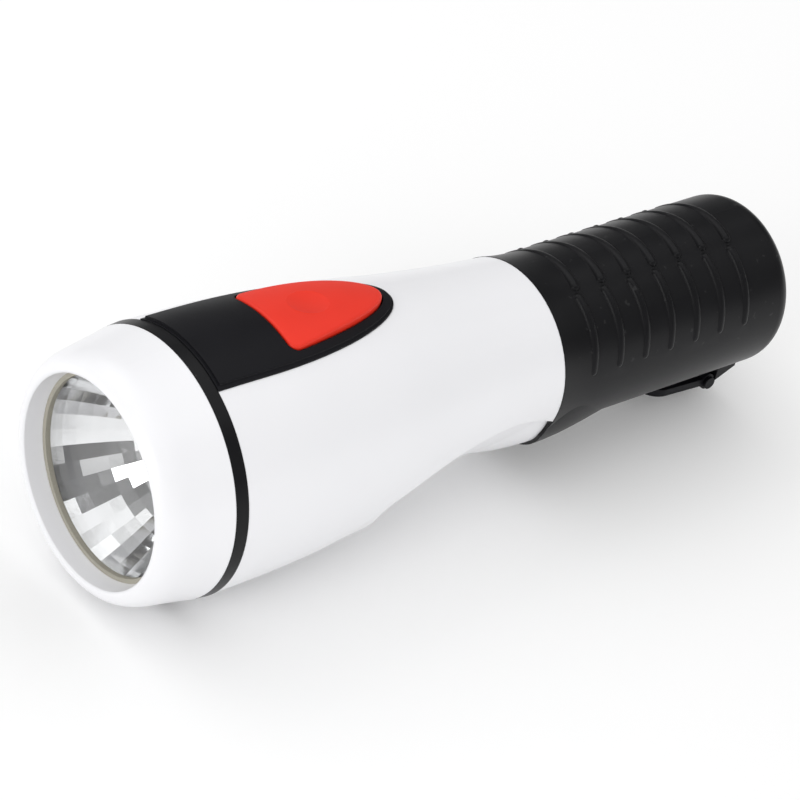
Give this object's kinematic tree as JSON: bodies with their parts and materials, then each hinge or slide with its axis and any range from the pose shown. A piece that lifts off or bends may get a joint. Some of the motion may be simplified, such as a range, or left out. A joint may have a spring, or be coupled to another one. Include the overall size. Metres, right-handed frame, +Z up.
{
  "type": "hand torch",
  "caption": "Round hand torch with a faceted reflector behind a screw-on head ring, a flared body with a top push-button, a ribbed rubber grip and a folding hanging loop.",
  "frame": {"origin": "on the plane that the seal ring touches with the push-button upwards, under the middle of the torch's length", "axes": "+X along the torch's axis from the lens to the tail, +Z up through the push-button"},
  "size_m": [0.1788, 0.0568, 0.0576],
  "materials": {
    "white_plastic": "satin",
    "red_plastic": "satin",
    "black_plastic": "matte",
    "black_rubber": "matte",
    "grey_rubber": "matte",
    "clear_lens": "clear",
    "bulb_glass": "clear",
    "reflector_mirror": "mirror",
    "tungsten": "satin",
    "nickel": "polished",
    "spring_steel": "satin",
    "brass": "satin",
    "cell_wrap": "satin",
    "black_steel": "satin"
  },
  "bodies": {
    "body": {"body_shell": "white_plastic", "seal_ring": "black_rubber", "inner_barrel": "black_plastic", "grip_sleeve": "black_rubber", "loop_pin": "black_steel", "switch_plate": "black_plastic", "switch_base": "black_plastic", "button_spring": "spring_steel", "contact_blade": "brass", "switch_terminal": "brass", "front_contact": "brass", "long_contact_strip": "spring_steel", "cell_front": "cell_wrap", "cell_cap_front": "nickel", "cell_rear": "cell_wrap", "cell_cap_rear": "nickel", "tail_plate": "spring_steel", "tail_spring": "spring_steel"},
    "optics": {"reflector": "reflector_mirror", "lens": "clear_lens", "lens_gasket": "grey_rubber", "bulb_glass": "bulb_glass", "bulb_base": "nickel", "bulb_filament": "tungsten", "bulb_retainer": "black_plastic", "contact_eyelet": "brass"},
    "head_ring": {"bezel": "white_plastic"},
    "button": {"switch_button": "red_plastic", "stem_clip": "spring_steel"},
    "loop": {"hanging_loop": "black_plastic"}
  },
  "joints": [
    {"name": "head_advance", "type": "slide", "parent": "body", "child": "optics", "axis": [-1, 0, 0], "range_m": [0, 0.006]},
    {"name": "head_screw", "type": "hinge", "parent": "optics", "child": "head_ring", "pos_m": [-0.085, 0, 0.0284], "axis": [-1, 0, 0], "range_deg": [0, 720]},
    {"name": "button_press", "type": "slide", "parent": "body", "child": "button", "axis": [0, 0, -1], "range_m": [0, 0.0015], "stiffness_N_per_m": 1000, "springref_m": -0.0005, "deforming": ["button_spring"]},
    {"name": "loop_swing", "type": "hinge", "parent": "body", "child": "loop", "pos_m": [0.08065, 0, 0.00625], "axis": [0, -1, 0], "range_deg": [0, 145]}
  ],
  "couplings": [
    {"joint": "head_advance", "follows": "head_screw", "m_per_rad": 0.00047746}
  ]
}
